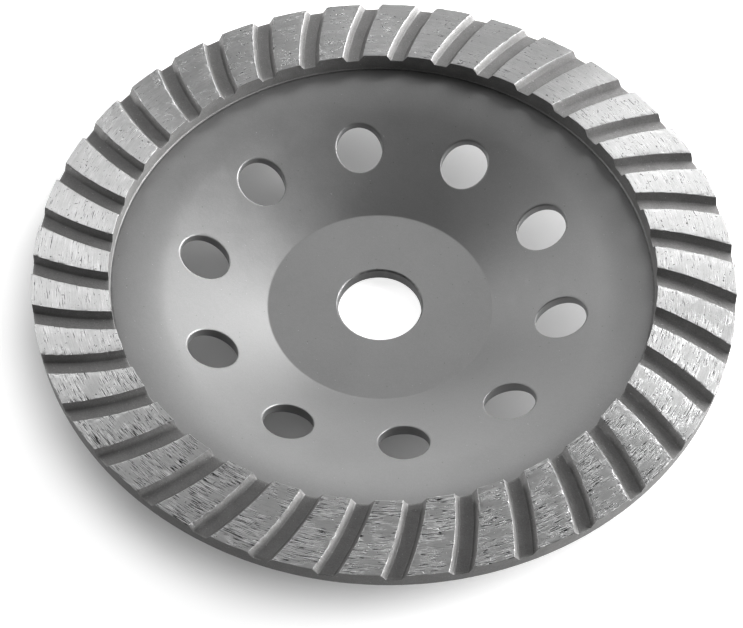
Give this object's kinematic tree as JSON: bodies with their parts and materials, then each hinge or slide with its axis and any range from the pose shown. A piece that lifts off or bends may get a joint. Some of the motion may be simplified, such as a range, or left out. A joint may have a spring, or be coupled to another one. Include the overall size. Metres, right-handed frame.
{
  "type": "diamond cup wheel",
  "caption": "Dished steel cup wheel with a central arbor bore, vent holes and a flat abrasive rim with swept grooves, for grinding concrete and stone.",
  "frame": {"origin": "centre of the bore at the back face of the hub", "axes": "+Z along the bore axis, out of the working face; +X and +Y across the wheel"},
  "size_m": [0.18, 0.18, 0.024],
  "materials": {
    "body_paint": "silver-grey semi-gloss paint with a fine orange peel",
    "sintered_matrix": "dressed sintered metal with fine circular scratches and pits on the teeth"
  },
  "bodies": {
    "root": {"steel_body": "body_paint", "abrasive_rim": "sintered_matrix"}
  },
  "joints": []
}
